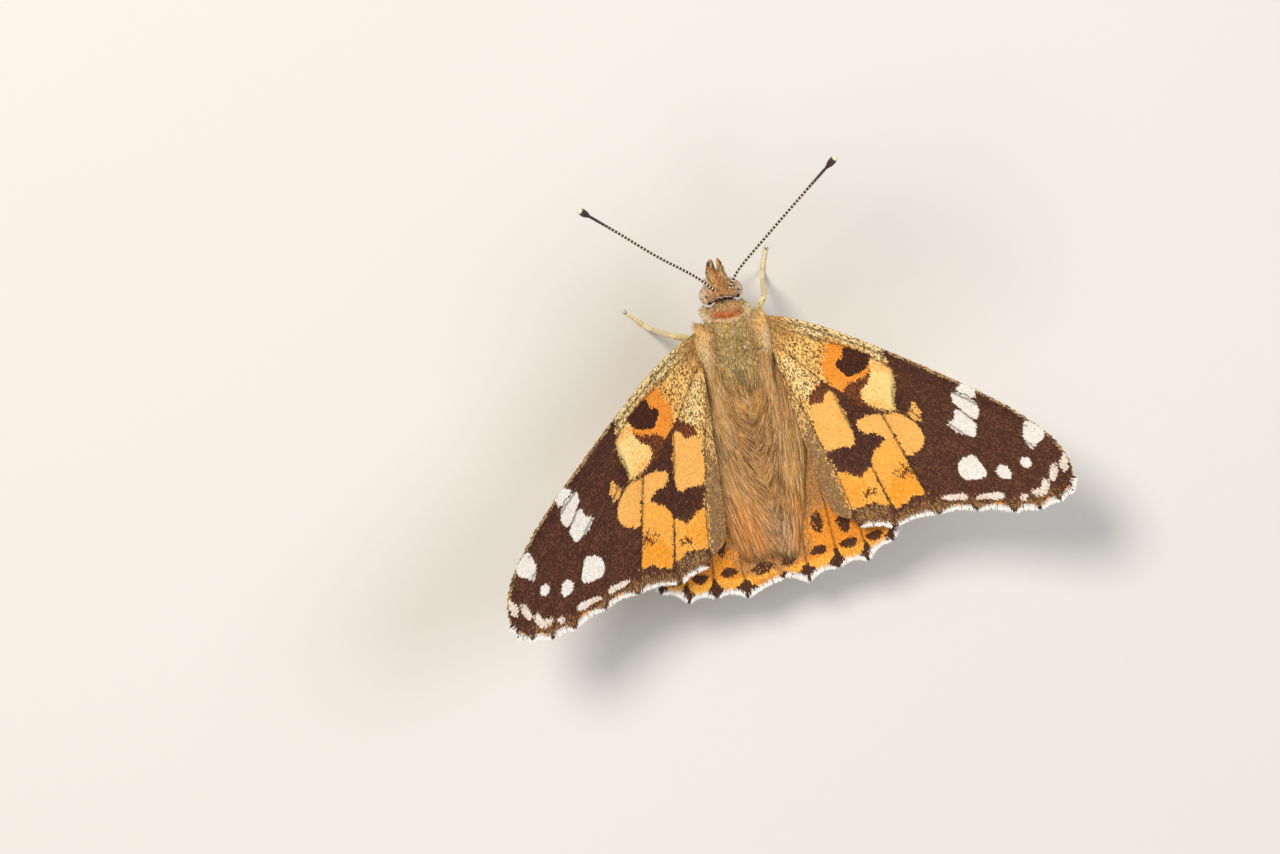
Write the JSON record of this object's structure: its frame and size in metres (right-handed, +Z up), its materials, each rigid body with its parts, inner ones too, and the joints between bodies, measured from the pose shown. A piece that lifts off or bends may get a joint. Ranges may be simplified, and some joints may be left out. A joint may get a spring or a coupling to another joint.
{
  "type": "painted lady butterfly",
  "caption": "Life-size still model of a painted lady butterfly that stands on its feet with scalloped wings spread.",
  "frame": {"origin": "on the floor, below the middle of the bounding box", "axes": "+Z up; the head points along -Y, the abdomen along +Y; +X is towards the butterfly's left wings"},
  "size_m": [0.052, 0.0383, 0.0181],
  "materials": {
    "body_hair": "matte",
    "wing_scales": "matte",
    "feelers": "satin",
    "legs": "satin",
    "eyes": "satin"
  },
  "bodies": {
    "root": {"thorax": "body_hair", "abdomen": "body_hair", "head": "body_hair", "collar": "body_hair", "tegula_left": "body_hair", "tegula_right": "body_hair", "forewing_left": "wing_scales", "forewing_right": "wing_scales", "hindwing_left": "wing_scales", "hindwing_right": "wing_scales", "antenna_left": "feelers", "antenna_right": "feelers", "proboscis": "feelers", "palp_left": "legs", "palp_right": "legs", "foreleg_left": "legs", "foreleg_right": "legs", "midleg_left": "legs", "midleg_right": "legs", "hindleg_left": "legs", "hindleg_right": "legs", "eye_left": "eyes", "eye_right": "eyes"}
  },
  "joints": []
}
